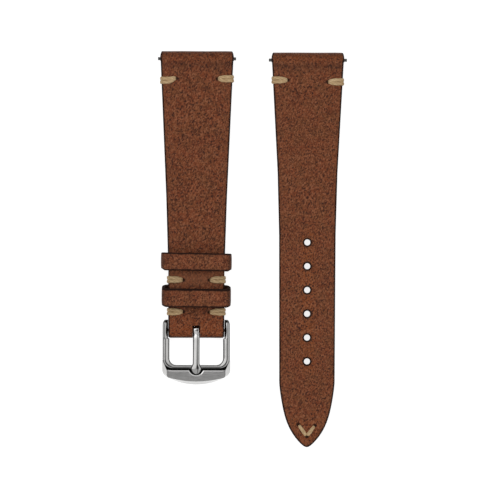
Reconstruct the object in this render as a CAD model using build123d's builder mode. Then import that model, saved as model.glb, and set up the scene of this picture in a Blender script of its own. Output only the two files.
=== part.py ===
# A two-piece leather watch strap, lying grain side up with its lug ends towards +Y.
# The short half carries the buckle and both keepers, the long half has the row of holes.
# X runs across the strap, Z is up from the surface that it lies on, and lengths are in millimetres.
from build123d import *
import os
from math import hypot

os.makedirs("parts", exist_ok=True)

# Layout of the two halves
half_spacing = 30.4
half_stagger = 0.3
long_length = 108.3
short_length = 78.7

# Leather thicknesses
leather_wall = 1.2
lining_wall = 1.0
floor_gap = 0.05
fit_gap = 0.02
cut_overrun = 1.0

# Folded loops at the ends
bar_hole_radius = 0.9
fold_neck = 6.2
fold_crotch = 4.9
crotch_half_height = 0.04
lug_flap = 13.0
buckle_flap = 18.2
fold_ease_radius = 3.0

# Plan of the short half: distance from the lug edge and full width there
short_lug_width = 20.16
short_taper_at = 40.0
short_taper_width = 16.64
short_keeper_from_end = 18.7
short_keeper_width = 15.34
short_end_width = 15.1

# Plan of the long half
long_lug_width = 19.96
long_taper_at = 33.0
long_taper_width = 16.4
long_waist_at = 50.0
long_waist_width = 15.5
long_tail_width = 15.2
tip_length = 18.8
tip_shoulder_length = 8.3
tip_shoulder_width = 12.06
tip_apex_reach = 0.225
tip_nose_radius = 0.8
lug_corner_radius = 0.7
end_corner_radius = 0.4
side_ease_radius = 30.0

# Holes for the buckle's tongue
hole_radius = 1.0
hole_count = 6
hole_pitch = 6.53
last_hole_from_end = 23.55

# Thread: a flat waxed cord, sewn as two strands round the side edge
thread_width = 0.95
thread_height = 0.6
thread_bevel = 0.18
thread_side_gap = 0.1
strand_offset = 0.48
stitch_inset = 4.15
lug_stitch_at = 7.85
lug_stitch_skew = 0.22
upper_stitch_from_end = 16.0
lower_stitch_from_end = 7.2
vee_top_from_end = 6.1
vee_spread = 2.25
vee_drop = 3.2

# Keepers: leather bands round the strap
keeper_band = 4.9
keeper_wall = 1.05
free_keeper_from_end = 23.3
free_keeper_width = 19.4
fixed_keeper_from_end = 14.6
fixed_keeper_width = 19.0
fixed_keeper_lean = 1.3
keeper_slack = 0.3
keeper_corner_radius = 1.9
keeper_inner_radius = 0.7
keeper_edge_bevel = 0.2
lap_gap = 0.12
lap_depth = 0.6
lap_length = 6.0
tunnel_ramp = 0.4

# Buckle: a polished loop with a raised front plate
buckle_bar_from_end = 2.1
arm_gap = 15.5
arm_width = 1.45
arm_height = 2.5
ear_reach = 2.9
ear_corner_radius = 1.0
strap_room_reach = 2.75
window_width = 14.75
window_reach = 9.57
window_corner_radius = 1.9
arm_corner_radius = 2.6
arm_bevel = 0.42
rib_width = 0.95
rib_top = 2.3
rib_bottom = 0.45
groove_width = 0.45
groove_floor = 1.2
plate_top = 3.4
plate_width = 16.1
plate_front = 14.0
plate_side_front = 12.85
plate_corner_radius = 0.8
flank_width = 18.6
flank_rear = 8.3
flank_front = 14.9
flank_side_front = 12.2
flank_corner_radius = 2.2
notch_radius = 2.05
notch_centre_reach = 10.25
pin_hole_gap = 0.04

# Buckle's tongue
tongue_width = 1.85
tongue_curl_wall = 0.46
tongue_height = 0.98
tongue_root_low = -0.25
tongue_tip_radius = 1.5
tongue_tip_reach = 12.08
tongue_tip_thin = 0.35
tongue_thin_length = 1.5
tongue_slot_gap = 0.3
tongue_slot_reach = 1.85
curl_gap = 0.04

# Spring bars
lug_tube_radius = 0.8
buckle_tube_radius = 0.64
tube_wall = 0.16
tube_lip = 0.3
lug_tube_inset = 1.55
buckle_tube_inset = 1.85
lug_collar_proud = 0.13
buckle_collar_inset = 0.1
collar_thickness = 0.3
lug_pin_radius = 0.43
buckle_pin_radius = 0.4
pin_reach = 0.72
collar_step = 0.18
stem_radius = 0.25
head_length = 1.0
slide_gap = 0.03
buckle_pin_short = 0.25
spring_wall = 0.12
spring_gap = 0.05

# Worked out from the sizes above
short_keeper_at = short_length - short_keeper_from_end
upper_stitch_at = short_length - upper_stitch_from_end
lower_stitch_at = short_length - lower_stitch_from_end
free_keeper_at = short_length - free_keeper_from_end
fixed_keeper_at = short_length - fixed_keeper_from_end
last_hole_at = long_length - last_hole_from_end
vee_top_at = long_length - vee_top_from_end
fold_radius = bar_hole_radius + leather_wall
bar_z = fold_radius
stack = leather_wall + lining_wall
strap_low = keeper_wall + thread_height + 3 * floor_gap
glue_z = strap_low + lining_wall
strap_top = strap_low + stack
tip_low = thread_height + floor_gap
overall_length = long_length + half_stagger
short_x = -half_spacing / 2
long_x = half_spacing / 2
short_y = overall_length / 2
long_y = short_y - half_stagger
buckle_y = short_y - short_length + buckle_bar_from_end
tip_drop = strap_low - tip_low
keeper_inner_top = strap_top + stack + keeper_slack
arm_outer = arm_gap / 2 + arm_width
rib_front = window_reach + rib_width
groove_front = rib_front + groove_width
# The awl cuts a diamond for the thread, this far from its middle to each side
thread_hole_radius = hypot(thread_height, thread_width) / 2 + fit_gap
tongue_slot_width = tongue_width + 2 * tongue_slot_gap

short_plan = Plane((short_x, short_y, 0))
long_plan = Plane((long_x, long_y, 0))
buckle_plan = Plane((short_x, buckle_y, 0))
short_side = Plane(short_plan.origin, x_dir=(0, 1, 0), z_dir=(1, 0, 0))
long_side = Plane(long_plan.origin, x_dir=(0, 1, 0), z_dir=(1, 0, 0))
buckle_side = Plane(buckle_plan.origin, x_dir=(0, 1, 0), z_dir=(1, 0, 0))

short_stations = [
    (0, short_lug_width / 2),
    (short_taper_at, short_taper_width / 2),
    (short_keeper_at, short_keeper_width / 2),
    (short_length, short_end_width / 2),
]
long_stations = [
    (0, long_lug_width / 2),
    (long_taper_at, long_taper_width / 2),
    (long_waist_at, long_waist_width / 2),
    (long_length - tip_length, long_tail_width / 2),
]


def half_width(stations, distance):
    """Half the strap's width at a distance from its lug edge."""
    for (start, wide), (stop, narrow) in zip(stations, stations[1:]):
        if distance <= stop:
            return wide + (narrow - wide) * (distance - start) / (stop - start)
    return stations[-1][1]


def edge_points(stations):
    """One side of a strap's outline, from the middle of its lug edge."""
    return [(0, 0)] + [(half, -distance) for distance, half in stations]


def fold(centre_y, radius, neck_y, neck_low, neck_high):
    """Side view of a loop round a bar, drawn in to a neck."""
    with BuildSketch() as side:
        with BuildLine():
            Line((neck_y, neck_low), (neck_y, neck_high))
        with Locations((centre_y, bar_z)):
            Circle(radius)
        make_hull()
    return side.sketch_local


def slab(start, stop, low, high, low_drop=0, high_drop=0):
    """Side view of a layer between two distances from the lug edge, which may drop towards its end."""
    return Polygon(
        (-start, low), (-stop, low - low_drop), (-stop, high - high_drop), (-start, high)
    )


def long_drop(distance):
    """How far the long half has come down at a distance from its lug edge."""
    return tip_drop * (distance - fold_neck) / (long_length - fold_neck)


def thread_ring(start, stop, low, high):
    """One strand of thread, up through one hole, along the top, down and back underneath."""
    run = stop - start
    along = run.normalized()
    upright = Plane((start.X, start.Y, 0), x_dir=along, z_dir=(along.Y, -along.X, 0))
    with BuildSketch(upright) as ring:
        with Locations((run.length / 2, (low + high) / 2)):
            Rectangle(run.length + thread_height, high - low + 2 * thread_height)
            chamfer(ring.vertices(), thread_bevel)
            Rectangle(run.length - thread_height, high - low, mode=Mode.SUBTRACT)
    extrude(ring.sketch, amount=thread_width / 2, both=True)


def edge_stitch(name, plan, stations, side, distance, low, high):
    """Two strands from one hole, spread round the side edge of the strap."""
    edge = half_width(stations, distance)
    leg = edge + thread_side_gap + thread_height / 2
    hole = Vector(plan.origin.X + side * (edge - stitch_inset), plan.origin.Y - distance)
    with BuildPart() as stitch:
        for shift in (-strand_offset, strand_offset):
            far = Vector(plan.origin.X + side * leg, plan.origin.Y - distance + shift)
            thread_ring(hole, far, low - fit_gap, high + fit_gap)
    stitch.part.label = name
    export_step(stitch.part, f"parts/{name}.step")


def stitch_hole(stations, side, distance):
    """Place of an edge stitch's hole in its strap's plan."""
    return (side * (half_width(stations, distance) - stitch_inset), -distance)


short_stitches = {
    "short_lug_stitch_left": (-1, lug_stitch_at + lug_stitch_skew),
    "short_lug_stitch_right": (1, lug_stitch_at - lug_stitch_skew),
    "keeper_stitch_upper_left": (-1, upper_stitch_at),
    "keeper_stitch_upper_right": (1, upper_stitch_at),
    "keeper_stitch_lower_left": (-1, lower_stitch_at),
    "keeper_stitch_lower_right": (1, lower_stitch_at),
}
long_stitches = {
    "long_lug_stitch_left": (-1, lug_stitch_at - lug_stitch_skew),
    "long_lug_stitch_right": (1, lug_stitch_at + lug_stitch_skew),
}
vee_holes = [(-vee_spread, -vee_top_at), (vee_spread, -vee_top_at), (0, -vee_top_at - vee_drop)]
tongue_holes = [(0, hole_pitch * i - last_hole_at) for i in range(hole_count)]


def short_outline():
    """Plan of the short half, from its lug edge to the fold at the buckle."""
    with BuildSketch() as plan:
        with BuildLine() as outline:
            FilletPolyline(
                *edge_points(short_stations),
                (0, -short_length),
                radius=[lug_corner_radius, side_ease_radius, side_ease_radius, end_corner_radius],
            )
            mirror(about=Plane.YZ)
        make_face(outline.line)
    return plan.sketch_local


# Outer leather of the short half: folded round the lug bar and round the buckle's bar
short_flap_at = short_length - buckle_flap
short_neck_at = short_length - fold_neck
tunnel_end = fixed_keeper_at + keeper_band + fit_gap
tunnel_low = glue_z - keeper_wall - fit_gap
bulge_low = tunnel_low - lining_wall + fit_gap
with BuildPart() as short_outer_leather:
    with BuildSketch(short_side) as side:
        add(fold(-fold_radius, fold_radius, -fold_neck, strap_low, strap_top))
        add(fold(fold_radius - short_length, fold_radius, -short_neck_at, strap_low, strap_top))
        slab(fold_neck, short_neck_at, glue_z, strap_top)
        slab(fold_neck, lug_flap, strap_low, glue_z)
        slab(short_flap_at, short_neck_at, strap_low, glue_z)
        Polygon(
            (-fixed_keeper_at + tunnel_ramp, strap_low),
            (-fixed_keeper_at, bulge_low),
            (-tunnel_end, bulge_low),
            (-tunnel_end - tunnel_ramp, strap_low),
        )
        for neck_at in (fold_neck, short_neck_at):
            necks = side.vertices().sort_by_distance((-neck_at, strap_top))
            fillet(necks[0], fold_ease_radius)
        crotches = (-fold_crotch, fold_crotch - short_length)
        centres = (-fold_radius, fold_radius - short_length)
        for centre, crotch in zip(centres, crotches):
            pinch = (glue_z - crotch_half_height, glue_z + crotch_half_height)
            add(fold(centre, bar_hole_radius, crotch, *pinch), mode=Mode.SUBTRACT)
        tunnel = Rectangle(
            keeper_band + 2 * fit_gap, glue_z - tunnel_low, align=Align.MIN, mode=Mode.PRIVATE
        )
        add(Pos(-tunnel_end, tunnel_low) * tunnel, mode=Mode.SUBTRACT)
    extrude(amount=short_lug_width / 2 + cut_overrun, both=True)
    with BuildSketch(short_plan):
        add(short_outline())
    extrude(amount=2 * fold_radius + cut_overrun, mode=Mode.INTERSECT)
    with BuildSketch(short_plan):
        with Locations(*[stitch_hole(short_stations, *place) for place in short_stitches.values()]):
            RegularPolygon(thread_hole_radius, 4, major_radius=False)
        with Locations((0, -short_length + buckle_bar_from_end + tongue_slot_reach)):
            Rectangle(tongue_slot_width, fold_neck, align=(Align.CENTER, Align.MAX))
    extrude(amount=2 * fold_radius + cut_overrun, mode=Mode.SUBTRACT)
short_outer_leather.part.label = "short_outer_leather"
export_step(short_outer_leather.part, "parts/short_outer_leather.step")

# Lining of the short half, butted between the two turned-back flaps
with BuildPart() as short_lining:
    with BuildSketch(short_side):
        slab(lug_flap, short_flap_at, strap_low, glue_z)
    extrude(amount=short_lug_width / 2 + cut_overrun, both=True)
    with BuildSketch(short_plan):
        add(short_outline())
    extrude(amount=2 * fold_radius + cut_overrun, mode=Mode.INTERSECT)
short_lining.part.label = "short_lining"
export_step(short_lining.part, "parts/short_lining.step")

for name, (side, distance) in short_stitches.items():
    edge_stitch(name, short_plan, short_stations, side, distance, strap_low, strap_top)


def long_outline():
    """Plan of the long half, with its rounded point."""
    shoulder_at = long_length - tip_shoulder_length
    with BuildSketch() as plan:
        with BuildLine() as outline:
            flank = FilletPolyline(
                *edge_points(long_stations),
                radius=[lug_corner_radius, side_ease_radius, side_ease_radius],
            )
            shoulder = TangentArc(
                flank @ 1, (tip_shoulder_width / 2, -shoulder_at), tangent=flank % 1
            )
            TangentArc(shoulder @ 1, (0, -long_length - tip_apex_reach), tangent=shoulder % 1)
            mirror(about=Plane.YZ)
        make_face(outline.line)
        fillet(plan.vertices().sort_by(Axis.Y)[0], tip_nose_radius)
    return plan.sketch_local


# Outer leather of the long half, folded round the other lug bar and pierced for the tongue
with BuildPart() as long_outer_leather:
    with BuildSketch(long_side) as side:
        add(fold(-fold_radius, fold_radius, -fold_neck, strap_low, strap_top))
        slab(
            fold_neck,
            long_length + cut_overrun,
            glue_z,
            strap_top,
            long_drop(long_length + cut_overrun),
            long_drop(long_length + cut_overrun),
        )
        slab(
            fold_neck, lug_flap, strap_low, glue_z, long_drop(lug_flap), long_drop(lug_flap)
        )
        necks = side.vertices().sort_by_distance((-fold_neck, strap_top))
        fillet(necks[0], fold_ease_radius)
        pinch = (glue_z - crotch_half_height, glue_z + crotch_half_height)
        add(fold(-fold_radius, bar_hole_radius, -fold_crotch, *pinch), mode=Mode.SUBTRACT)
    extrude(amount=long_lug_width / 2 + cut_overrun, both=True)
    with BuildSketch(long_plan):
        add(long_outline())
    extrude(amount=2 * fold_radius + cut_overrun, mode=Mode.INTERSECT)
    with BuildSketch(long_plan):
        with Locations(*[stitch_hole(long_stations, *place) for place in long_stitches.values()]):
            RegularPolygon(thread_hole_radius, 4, major_radius=False)
        with Locations(*vee_holes):
            RegularPolygon(thread_hole_radius, 4, major_radius=False)
        with Locations(*tongue_holes):
            Circle(hole_radius)
    extrude(amount=2 * fold_radius + cut_overrun, mode=Mode.SUBTRACT)
long_outer_leather.part.label = "long_outer_leather"
export_step(long_outer_leather.part, "parts/long_outer_leather.step")

# Lining of the long half, from the end of the turned-back flap to the point
with BuildPart() as long_lining:
    with BuildSketch(long_side):
        start_drop = long_drop(lug_flap)
        slab(
            lug_flap,
            long_length + cut_overrun,
            strap_low - start_drop,
            glue_z - start_drop,
            long_drop(long_length + cut_overrun) - start_drop,
            long_drop(long_length + cut_overrun) - start_drop,
        )
    extrude(amount=long_lug_width / 2 + cut_overrun, both=True)
    with BuildSketch(long_plan):
        add(long_outline())
    extrude(amount=2 * fold_radius + cut_overrun, mode=Mode.INTERSECT)
    with BuildSketch(long_plan):
        with Locations(*vee_holes):
            RegularPolygon(thread_hole_radius, 4, major_radius=False)
        with Locations(*tongue_holes):
            Circle(hole_radius)
    extrude(amount=2 * fold_radius + cut_overrun, mode=Mode.SUBTRACT)
long_lining.part.label = "long_lining"
export_step(long_lining.part, "parts/long_lining.step")

for name, (side, distance) in long_stitches.items():
    under = strap_low - long_drop(distance + strand_offset + thread_width)
    edge_stitch(name, long_plan, long_stations, side, distance, under, strap_top)

# Thread at the point: two strands that meet in one hole
vee_low = strap_low - long_drop(vee_top_at + vee_drop) - fit_gap
vee_high = strap_top - long_drop(vee_top_at) + fit_gap
with BuildPart() as tip_stitch:
    meeting = Vector(long_x, long_y - vee_top_at - vee_drop)
    for x_side in (-vee_spread, vee_spread):
        thread_ring(Vector(long_x + x_side, long_y - vee_top_at), meeting, vee_low, vee_high)
tip_stitch.part.label = "tip_stitch"
export_step(tip_stitch.part, "parts/tip_stitch.step")

# Free keeper: a leather band that slides along the short half, its ends lapped underneath
free_keeper_height = keeper_inner_top + keeper_wall - floor_gap
free_front = short_y - free_keeper_at
with BuildPart() as free_keeper:
    with BuildSketch(Plane((short_x, free_front, 0), x_dir=(1, 0, 0), z_dir=(0, -1, 0))):
        with Locations((0, floor_gap + free_keeper_height / 2)):
            RectangleRounded(free_keeper_width, free_keeper_height, keeper_corner_radius)
            RectangleRounded(
                free_keeper_width - 2 * keeper_wall,
                free_keeper_height - 2 * keeper_wall,
                keeper_inner_radius,
                mode=Mode.SUBTRACT,
            )
    extrude(amount=keeper_band)
    sides = free_keeper.faces().sort_by(Axis.Y)
    rims = [face.outer_wire().edges() for face in (sides[0], sides[-1])]
    chamfer(rims[0] + rims[1], keeper_edge_bevel)
    with BuildSketch(Plane.XZ.offset(cut_overrun - free_front)):
        with Locations((short_x, 0)):
            Polygon(
                (-lap_length / 2, 0),
                (-lap_length / 2 + lap_gap, 0),
                (lap_length / 2, lap_depth),
                (lap_length / 2 - lap_gap, lap_depth),
            )
    extrude(amount=keeper_band + 2 * cut_overrun, mode=Mode.SUBTRACT)
free_keeper.part.label = "free_keeper"
export_step(free_keeper.part, "parts/free_keeper.step")

# Fixed keeper: held between the outer leather and its flap, leaning towards the buckle
fixed_low = glue_z - keeper_wall
fixed_height = keeper_inner_top + keeper_wall - fixed_low
fixed_top = fixed_low + fixed_height
lean_from = glue_z + fit_gap
fixed_start = (short_x, short_y - fixed_keeper_at + cut_overrun, 0)
with BuildPart() as fixed_keeper:
    with BuildSketch(Plane(fixed_start, x_dir=(1, 0, 0), z_dir=(0, -1, 0))):
        with Locations((0, fixed_low + fixed_height / 2)):
            RectangleRounded(fixed_keeper_width, fixed_height, keeper_corner_radius)
            RectangleRounded(
                fixed_keeper_width - 2 * keeper_wall,
                fixed_height - 2 * keeper_wall,
                keeper_inner_radius,
                mode=Mode.SUBTRACT,
            )
    extrude(amount=keeper_band + fixed_keeper_lean + 2 * cut_overrun)
    with BuildSketch(short_side):
        Polygon(
            (-fixed_keeper_at, fixed_low),
            (-fixed_keeper_at - keeper_band, fixed_low),
            (-fixed_keeper_at - keeper_band, lean_from),
            (-fixed_keeper_at - keeper_band - fixed_keeper_lean, fixed_top),
            (-fixed_keeper_at - fixed_keeper_lean, fixed_top),
            (-fixed_keeper_at, lean_from),
        )
    extrude(amount=fixed_keeper_width, both=True, mode=Mode.INTERSECT)
fixed_keeper.part.label = "fixed_keeper"
export_step(fixed_keeper.part, "parts/fixed_keeper.step")


def front_outline(width, rear, side_front, front, corner_radius):
    """Plan of the buckle's front, straight behind and bowed forwards, measured from the bar."""
    with BuildLine() as outline:
        Polyline(
            (-width / 2, -side_front),
            (-width / 2, -rear),
            (width / 2, -rear),
            (width / 2, -side_front),
        )
        ThreePointArc((width / 2, -side_front), (0, -front), (-width / 2, -side_front))
    made = make_face(outline.line)
    fillet(made.vertices().group_by(Axis.Y)[0], corner_radius)


# Buckle frame: two arms and a rear rib bent from one bar, with a raised plate in front
ear_radius = arm_height / 2
with BuildPart() as buckle_frame:
    with BuildSketch(buckle_plan) as hoop:
        with Locations((0, ear_reach)):
            Rectangle(2 * arm_outer, ear_reach + rib_front, align=(Align.CENTER, Align.MAX))
        fillet(hoop.vertices().group_by(Axis.Y)[0], arm_corner_radius)
        fillet(hoop.vertices().group_by(Axis.Y)[-1], ear_corner_radius)
    extrude(amount=plate_top)
    with BuildSketch(buckle_side):
        with BuildLine():
            Line((-rib_front, rib_bottom), (-rib_front, rib_top))
        with Locations((ear_reach - ear_radius, bar_z)):
            Circle(ear_radius)
        make_hull()
    extrude(amount=arm_outer + cut_overrun, both=True, mode=Mode.INTERSECT)
    crown = buckle_frame.faces().filter_by(GeomType.PLANE).sort_by(Axis.Z)[-1]
    chamfer(crown.edges().filter_by(Axis.X, reverse=True), arm_bevel)
    with BuildSketch(buckle_plan):
        front_outline(flank_width, flank_rear, flank_side_front, flank_front, flank_corner_radius)
    with BuildSketch(buckle_plan.offset(plate_top)):
        front_outline(plate_width, groove_front, plate_side_front, plate_front, plate_corner_radius)
    loft()
    with BuildSketch(buckle_plan.offset(rib_top)):
        with Locations((0, -rib_front)):
            Rectangle(
                flank_width + 2 * cut_overrun,
                rib_front - flank_rear + cut_overrun,
                align=(Align.CENTER, Align.MIN),
            )
    extrude(amount=plate_top, mode=Mode.SUBTRACT)
    with BuildSketch(buckle_plan.offset(groove_floor)):
        with Locations((0, -groove_front)):
            Rectangle(plate_width, groove_width, align=(Align.CENTER, Align.MIN))
    extrude(amount=plate_top, mode=Mode.SUBTRACT)
    with BuildSketch(buckle_plan) as window:
        with Locations((0, ear_reach + cut_overrun)):
            Rectangle(
                window_width, ear_reach + cut_overrun + window_reach, align=(Align.CENTER, Align.MAX)
            )
        fillet(window.vertices().group_by(Axis.Y)[0], window_corner_radius)
        with Locations((0, ear_reach + cut_overrun)):
            Rectangle(
                arm_gap, ear_reach + cut_overrun + strap_room_reach, align=(Align.CENTER, Align.MAX)
            )
    extrude(amount=plate_top + bar_z, mode=Mode.SUBTRACT)
    with BuildSketch(buckle_plan.offset(rib_top - fit_gap)):
        with Locations((0, -notch_centre_reach)):
            Circle(notch_radius)
    extrude(amount=plate_top, mode=Mode.SUBTRACT)
    with BuildSketch(buckle_side):
        with Locations((0, bar_z)):
            Circle(buckle_pin_radius + pin_hole_gap)
    extrude(amount=arm_outer + cut_overrun, both=True, mode=Mode.SUBTRACT)
buckle_frame.part.label = "buckle_frame"
export_step(buckle_frame.part, "parts/buckle_frame.step")

# Tongue: curled round the buckle's bar, resting on the rib, its spoon tip in the plate's notch
curl_bore = buckle_tube_radius + curl_gap
curl_radius = curl_bore + tongue_curl_wall
tongue_low = rib_top + fit_gap
with BuildPart() as buckle_tongue:
    with BuildSketch(buckle_side):
        with Locations((0, bar_z)):
            Circle(curl_radius)
        Polygon(
            (0, bar_z + tongue_root_low),
            (-window_reach, tongue_low),
            (-tongue_tip_reach, tongue_low),
            (-tongue_tip_reach, tongue_low + tongue_height - tongue_tip_thin),
            (-tongue_tip_reach + tongue_thin_length, tongue_low + tongue_height),
            (-window_reach, tongue_low + tongue_height),
            (0, bar_z + curl_radius),
        )
        with Locations((0, bar_z)):
            Circle(curl_bore, mode=Mode.SUBTRACT)
    extrude(amount=tongue_tip_radius, both=True)
    with BuildSketch(buckle_plan):
        with Locations((0, curl_radius + cut_overrun)):
            Rectangle(
                tongue_width,
                curl_radius + cut_overrun + tongue_tip_reach - tongue_tip_radius,
                align=(Align.CENTER, Align.MAX),
            )
        with Locations((0, tongue_tip_radius - tongue_tip_reach)):
            Circle(tongue_tip_radius)
    extrude(amount=plate_top + bar_z, mode=Mode.INTERSECT)
buckle_tongue.part.label = "buckle_tongue"
export_step(buckle_tongue.part, "parts/buckle_tongue.step")


def turned(points, bar_centre):
    """A round piece on the bar's axis, from a list of places along it and radii."""
    along = Plane(bar_centre, x_dir=(1, 0, 0), z_dir=(0, -1, 0))
    with BuildSketch(along) as profile:
        Polygon(*points)
    revolve(profile.sketch, axis=Axis(bar_centre, (1, 0, 0)))


def spring_bar(name, bar_centre, tube_radius, tube_half, collar_at, pin_radius, pin_end):
    """A tube with a spring inside and a stepped tip at each end, which the spring pushes out."""
    bore = tube_radius - tube_wall
    lip_bore = stem_radius + slide_gap
    with BuildPart() as tube:
        turned(
            [
                (-tube_half, lip_bore),
                (-tube_half, tube_radius),
                (tube_half, tube_radius),
                (tube_half, lip_bore),
                (tube_half - tube_lip, lip_bore),
                (tube_half - tube_lip, bore),
                (tube_lip - tube_half, bore),
                (tube_lip - tube_half, lip_bore),
            ],
            bar_centre,
        )
    tube.part.label = f"{name}_tube"
    export_step(tube.part, f"parts/{name}_tube.step")
    head_end = tube_half - tube_lip - slide_gap
    head_start = head_end - head_length
    for side, word in ((-1, "left"), (1, "right")):
        with BuildPart() as tip:
            turned(
                [
                    (side * head_start, 0),
                    (side * head_start, bore - slide_gap),
                    (side * head_end, bore - slide_gap),
                    (side * head_end, stem_radius),
                    (side * collar_at, stem_radius),
                    (side * collar_at, pin_radius + collar_step),
                    (side * (collar_at + collar_thickness), pin_radius + collar_step),
                    (side * (collar_at + collar_thickness), pin_radius),
                    (side * pin_end, pin_radius),
                    (side * pin_end, 0),
                ],
                bar_centre,
            )
        tip.part.label = f"{name}_tip_{word}"
        export_step(tip.part, f"parts/{name}_tip_{word}.step")
    coil = bore - spring_gap
    with BuildPart() as spring:
        turned(
            [
                (-head_start + fit_gap, coil - spring_wall),
                (-head_start + fit_gap, coil),
                (head_start - fit_gap, coil),
                (head_start - fit_gap, coil - spring_wall),
            ],
            bar_centre,
        )
    spring.part.label = f"{name}_spring"
    export_step(spring.part, f"parts/{name}_spring.step")


# The two lug bars, whose tips stand out of the leather to enter a watch case
lug_pins = half_width(short_stations, fold_radius) + pin_reach
for name, plan, stations in (
    ("short_lug_bar", short_plan, short_stations),
    ("long_lug_bar", long_plan, long_stations),
):
    edge = half_width(stations, fold_radius)
    spring_bar(
        name,
        (plan.origin.X, plan.origin.Y - fold_radius, bar_z),
        lug_tube_radius,
        edge - lug_tube_inset,
        edge + lug_collar_proud - collar_thickness,
        lug_pin_radius,
        lug_pins,
    )

# The buckle's bar, whose tips sit in the ends of the arms
spring_bar(
    "buckle_bar",
    (short_x, buckle_y, bar_z),
    buckle_tube_radius,
    arm_gap / 2 - buckle_tube_inset,
    arm_gap / 2 - buckle_collar_inset - collar_thickness,
    buckle_pin_radius,
    arm_outer - buckle_pin_short,
)
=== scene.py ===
import math
from collections import namedtuple

import bmesh
import bpy
import numpy as np
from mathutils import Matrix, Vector


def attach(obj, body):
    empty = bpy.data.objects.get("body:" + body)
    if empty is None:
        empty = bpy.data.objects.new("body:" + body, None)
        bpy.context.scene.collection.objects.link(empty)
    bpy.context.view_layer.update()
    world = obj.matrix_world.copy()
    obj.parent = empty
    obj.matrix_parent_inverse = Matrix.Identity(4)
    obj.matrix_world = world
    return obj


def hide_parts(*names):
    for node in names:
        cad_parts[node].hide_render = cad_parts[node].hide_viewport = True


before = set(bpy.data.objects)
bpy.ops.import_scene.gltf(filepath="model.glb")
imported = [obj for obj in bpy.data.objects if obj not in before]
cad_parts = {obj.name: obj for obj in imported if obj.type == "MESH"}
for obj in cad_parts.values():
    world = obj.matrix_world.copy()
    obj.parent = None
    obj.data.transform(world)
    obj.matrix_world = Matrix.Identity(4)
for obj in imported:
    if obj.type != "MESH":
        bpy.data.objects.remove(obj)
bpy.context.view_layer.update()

# Lengths are in millimetres: along a half from its lug edge, and across from its middle
MM = 0.001
BAR, FOLD, BORE = 2.1, 2.1, 0.9  # a bar's height, and the outer and inner radius of the fold round it
LOW, GLUE, TOP = 1.8, 2.8, 4.0  # heights of the leather's underside, glue line and face
NECK, FLAP, BUCKLE_FLAP = 6.2, 13.0, 60.5  # where a fold closes, and where the flaps end
SHORT_LENGTH, LONG_LENGTH, POINT_START = 78.7, 108.3, 89.4
HOLES = [84.75 - 6.53 * i for i in range(6)]
STITCH_HOLE = 4.15  # from the leather's edge
GRAIN_ROUND, FLESH_ROUND = 0.34, 0.04  # radius of a skin's edges
ROW = 0.25  # between rows of points along the leather
rng = np.random.default_rng(7)

# Each half: place, side edge, where its far fold ends, and how far its point droops
Half = namedtuple("Half", "x y edge far_fold droop")


def srgb(red, green, blue):
    """A colour as read off a screen, 0 to 255, in the values that shaders use."""
    linear = [v / 255 / 12.92 if v < 10.3 else ((v / 255 + 0.055) / 1.055) ** 2.4 for v in (red, green, blue)]
    return (*linear, 1.0)


def grey(value):
    return (value, value, value, 1)


def ease(value, start, stop):
    """0 before start, 1 after stop, with a soft rise between."""
    t = np.clip((np.asarray(value, float) - start) / (stop - start), 0, 1)
    return t * t * (3 - 2 * t)


def bell(value, middle, reach):
    """1 at the middle, with a soft fall to both sides."""
    return np.exp(-(((value - middle) / reach) ** 2))


def mesh_object(name, points, faces, material, smooth=True):
    mesh = bpy.data.meshes.new(name)
    mesh.from_pydata([tuple(p) for p in np.asarray(points).reshape(-1, 3) * MM], [], faces)
    solid = bmesh.new()
    solid.from_mesh(mesh)
    bmesh.ops.recalc_face_normals(solid, faces=solid.faces)
    solid.to_mesh(mesh)
    solid.free()
    mesh.polygons.foreach_set("use_smooth", [smooth] * len(mesh.polygons))
    mesh.materials.append(material)
    made = bpy.data.objects.new(name, mesh)
    bpy.context.scene.collection.objects.link(made)
    return made


def quads(a, b, around):
    """Faces between two closed rings, whose points are numbered from a and from b."""
    return [(a + j, a + (j + 1) % around, b + (j + 1) % around, b + j) for j in range(around)]


def tube_faces(rows, around, base=0):
    """Faces over rows of closed rings, numbered row by row, and over both ends."""
    faces = []
    for i in range(rows - 1):
        faces += quads(base + i * around, base + (i + 1) * around, around)
    last = base + (rows - 1) * around
    return faces + [tuple(range(base, base + around))[::-1], tuple(range(last, last + around))]


def crisp(mesh, angle):
    """Keeps real corners sharp where the rest is shaded smooth."""
    solid = bmesh.new()
    solid.from_mesh(mesh)
    for edge in solid.edges:
        if len(edge.link_faces) == 2 and edge.calc_face_angle(0) > angle:
            edge.smooth = False
    solid.to_mesh(mesh)
    solid.free()


def place(made, body, slot, *nodes):
    """The piece stands for these nodes of the part and rides on their body."""
    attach(made, body)
    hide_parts(*nodes)


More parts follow.
